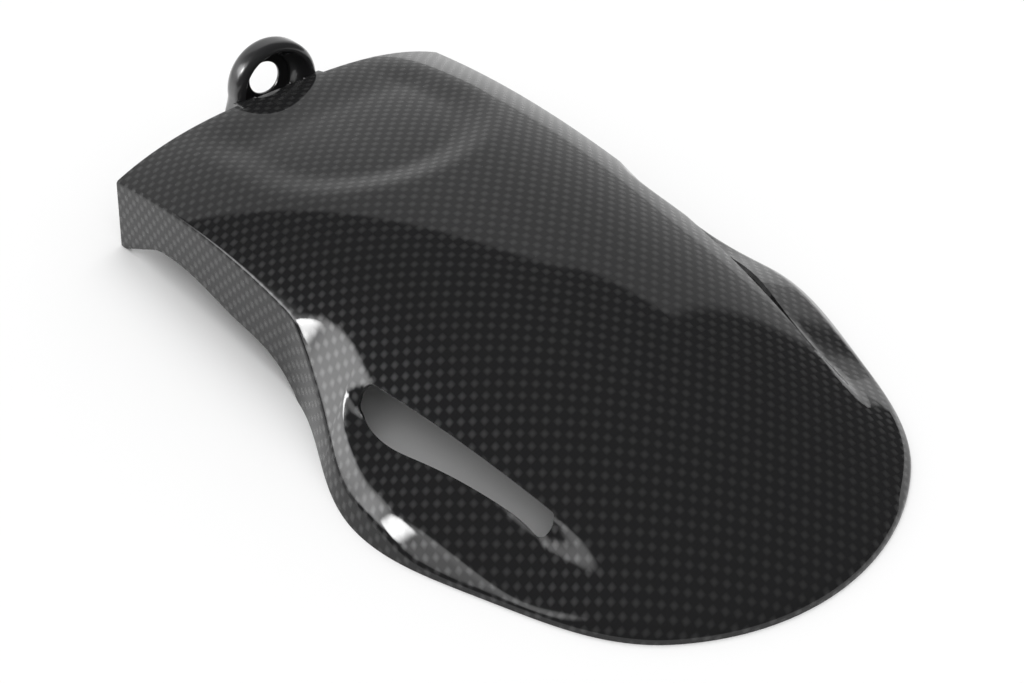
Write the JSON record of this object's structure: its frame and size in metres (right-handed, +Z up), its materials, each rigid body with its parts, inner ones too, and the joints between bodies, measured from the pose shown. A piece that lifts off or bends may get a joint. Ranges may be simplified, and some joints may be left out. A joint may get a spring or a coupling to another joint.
{
  "type": "motorcycle rear mudguard",
  "caption": "One-piece arched carbon rear mudguard with flared sides, knife-shaped slots, a pressed recess and a bored fixing lug at the narrow end.",
  "frame": {"origin": "centre of the bounding box in plan, at the surface that the rim and the two front feet stand on", "axes": "+Y forward from the rounded rear tip to the fixing lug, +X to the right across the part, +Z up"},
  "size_m": [0.185, 0.2915, 0.0534],
  "materials": {
    "carbon": "clear-coated plain-weave carbon laminate"
  },
  "bodies": {
    "root": {"mudguard_shell": "carbon"}
  },
  "joints": []
}
